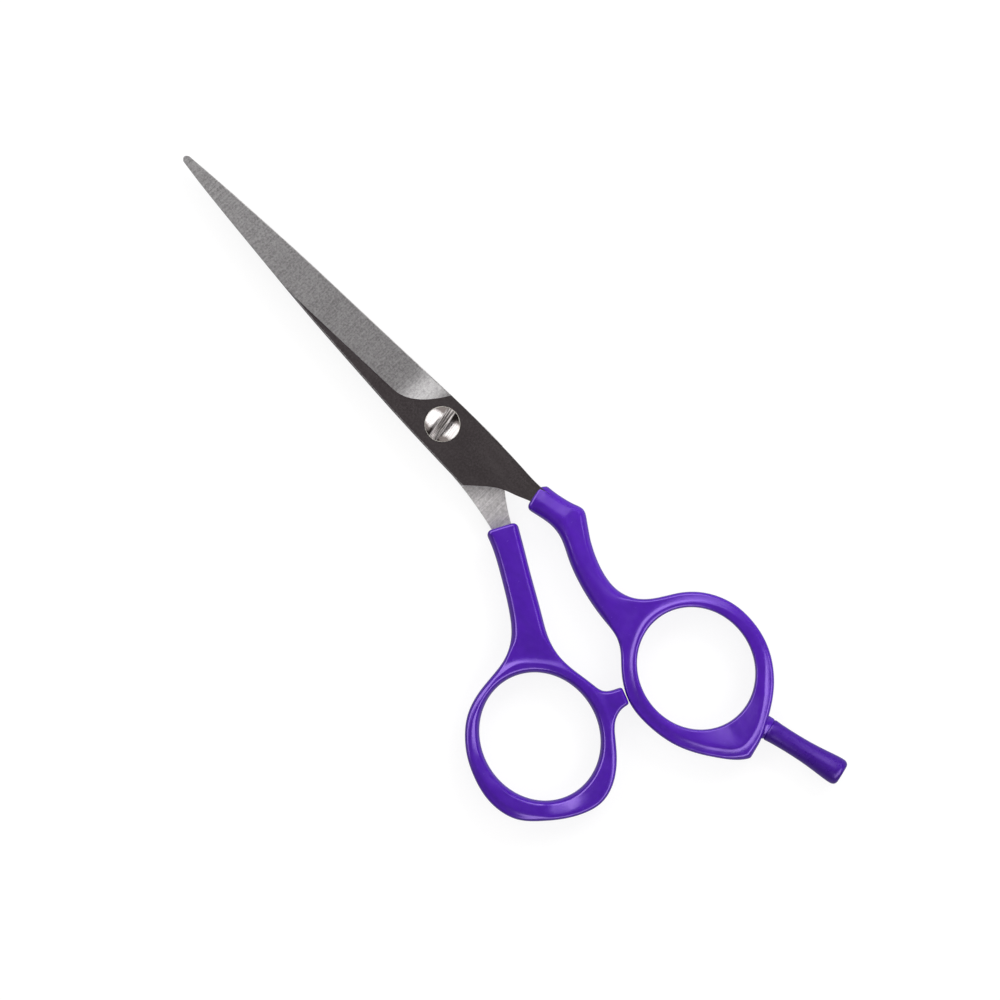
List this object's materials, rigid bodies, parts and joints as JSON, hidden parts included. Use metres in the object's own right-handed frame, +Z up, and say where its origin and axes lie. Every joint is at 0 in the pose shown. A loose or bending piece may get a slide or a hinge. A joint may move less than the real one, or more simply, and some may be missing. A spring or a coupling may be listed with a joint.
{
  "type": "hairdressing scissors",
  "caption": "Straight-bladed hairdressing scissors with moulded plastic ring handles, a little-finger rest and a slotted pivot screw.",
  "frame": {"origin": "middle of the closed pair's footprint, on the surface it lies on", "axes": "+Y towards the blade tips along the blades, +X towards the finger ring's side, +Z up through the screw head, along the pivot axis"},
  "size_m": [0.0582, 0.167, 0.0066],
  "materials": {
    "blade_steel": "ground and polished stainless steel",
    "handle_plastic": "smooth moulded purple plastic",
    "stud_steel": "plain machined steel",
    "screw_chrome": "polished chrome plate",
    "washer_nylon": "natural nylon"
  },
  "bodies": {
    "thumb_half": {"thumb_blade": "blade_steel", "thumb_handle": "handle_plastic"},
    "finger_half": {"finger_blade": "blade_steel", "finger_handle": "handle_plastic", "finger_rest": "handle_plastic", "finger_rest_stud": "stud_steel", "friction_washer": "washer_nylon"},
    "tension_screw": {"pivot_screw": "screw_chrome"}
  },
  "joints": [
    {"name": "blade_pivot", "type": "hinge", "parent": "thumb_half", "child": "finger_half", "pos_m": [0.013, 0.0148, 0.003], "axis": [0, 0, 1], "range_deg": [0, 130]},
    {"name": "tension_adjust", "type": "hinge", "parent": "thumb_half", "child": "tension_screw", "pos_m": [0.013, 0.0148, 0.003], "axis": [0, 0, 1], "range_deg": [-45, 90]}
  ]
}
